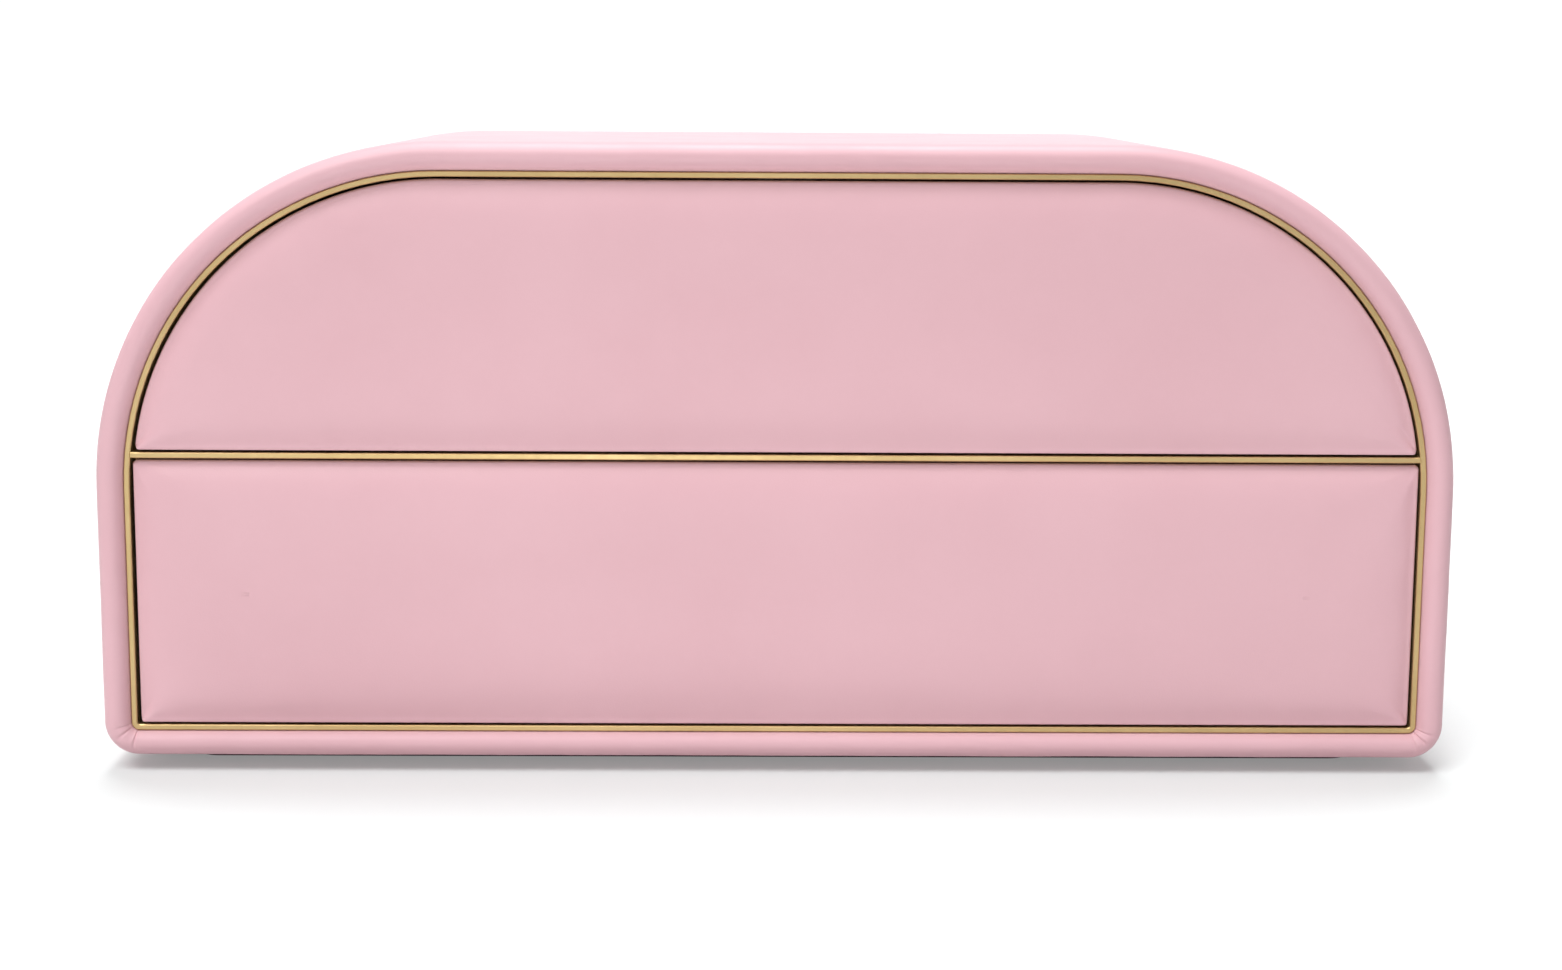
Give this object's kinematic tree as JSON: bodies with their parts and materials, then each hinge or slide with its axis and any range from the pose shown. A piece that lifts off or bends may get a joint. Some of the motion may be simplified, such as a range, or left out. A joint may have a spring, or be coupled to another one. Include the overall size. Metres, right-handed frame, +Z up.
{
  "type": "jewelry box",
  "caption": "Arched leather-covered jewelry box with a padded front bead, brass trim frame and push-to-open drawers on ball slides.",
  "frame": {"origin": "centre of the bounding box's footprint, on the plane the box stands on", "axes": "+Z up, the drawers open towards -Y, +X to the right seen from the front"},
  "size_m": [0.45, 0.165, 0.2098],
  "materials": {
    "pink_leather": "satin, fine grain",
    "foam": "matt",
    "case_wood": "satin, unfinished board",
    "drawer_wood": "satin",
    "brass_trim": "brushed, satin",
    "suede_lining": "matt suede",
    "suede_cushion": "matt suede",
    "slide_steel": "satin, zinc plated",
    "screw_steel": "satin",
    "strike_steel": "satin",
    "latch_plastic": "matt",
    "plunger_plastic": "matt",
    "plinth_lacquer": "dark lacquer",
    "base_felt": "matt felt"
  },
  "bodies": {
    "case": {"arch_shell": "case_wood", "base_board": "case_wood", "shell_dowels": "case_wood", "back_board": "case_wood", "divider_shelf": "case_wood", "outer_leather": "pink_leather", "back_leather": "pink_leather", "front_bead_foam": "foam", "front_bead_leather": "pink_leather", "brass_frame": "brass_trim", "brass_crossbar": "brass_trim", "lower_lining": "suede_lining", "upper_lining": "suede_lining", "upper_runner_blocks": "case_wood", "plinth": "plinth_lacquer", "plinth_felt": "base_felt", "plinth_screws": "screw_steel", "case_rail_screws": "screw_steel", "upper_case_rail_left": "slide_steel", "upper_case_rail_right": "slide_steel", "lower_case_rail_left": "slide_steel", "lower_case_rail_right": "slide_steel", "upper_latch_housing": "latch_plastic", "lower_latch_housing": "latch_plastic", "latch_screws": "screw_steel"},
    "upper_drawer": {"upper_front_board": "case_wood", "upper_front_pad": "pink_leather", "upper_box_left": "drawer_wood", "upper_box_right": "drawer_wood", "upper_box_front": "drawer_wood", "upper_box_back": "drawer_wood", "upper_box_floor": "drawer_wood", "upper_drawer_lining": "suede_lining", "upper_drawer_screws": "screw_steel", "upper_drawer_rail_left": "slide_steel", "upper_drawer_rail_right": "slide_steel", "upper_strike_plate": "strike_steel", "upper_dividers": "suede_lining", "ring_rolls": "suede_cushion", "ring_roll_base": "suede_lining"},
    "lower_drawer": {"lower_front_board": "case_wood", "lower_front_pad": "pink_leather", "lower_box_left": "drawer_wood", "lower_box_right": "drawer_wood", "lower_box_front": "drawer_wood", "lower_box_back": "drawer_wood", "lower_box_floor": "drawer_wood", "lower_drawer_lining": "suede_lining", "lower_drawer_screws": "screw_steel", "lower_drawer_rail_left": "slide_steel", "lower_drawer_rail_right": "slide_steel", "lower_strike_plate": "strike_steel", "lower_dividers": "suede_lining", "bracelet_pillows": "suede_cushion"},
    "upper_ball_cages": {"upper_ball_cage_left": "slide_steel", "upper_ball_cage_right": "slide_steel"},
    "lower_ball_cages": {"lower_ball_cage_left": "slide_steel", "lower_ball_cage_right": "slide_steel"},
    "upper_plunger": {"upper_latch_plunger": "plunger_plastic"},
    "lower_plunger": {"lower_latch_plunger": "plunger_plastic"}
  },
  "joints": [
    {"name": "upper_drawer_slide", "type": "slide", "parent": "case", "child": "upper_drawer", "axis": [0, -1, 0], "range_m": [0, 0.09]},
    {"name": "lower_drawer_slide", "type": "slide", "parent": "case", "child": "lower_drawer", "axis": [0, -1, 0], "range_m": [0, 0.09]},
    {"name": "upper_cages_slide", "type": "slide", "parent": "case", "child": "upper_ball_cages", "axis": [0, -1, 0], "range_m": [0, 0.045]},
    {"name": "lower_cages_slide", "type": "slide", "parent": "case", "child": "lower_ball_cages", "axis": [0, -1, 0], "range_m": [0, 0.045]},
    {"name": "upper_plunger_press", "type": "slide", "parent": "case", "child": "upper_plunger", "axis": [0, 1, 0], "range_m": [0, 0.003], "stiffness_N_per_m": 300, "springref_m": -0.003},
    {"name": "lower_plunger_press", "type": "slide", "parent": "case", "child": "lower_plunger", "axis": [0, 1, 0], "range_m": [0, 0.003], "stiffness_N_per_m": 300, "springref_m": -0.003}
  ],
  "couplings": [
    {"joint": "upper_cages_slide", "follows": "upper_drawer_slide", "ratio": 0.5},
    {"joint": "lower_cages_slide", "follows": "lower_drawer_slide", "ratio": 0.5}
  ]
}
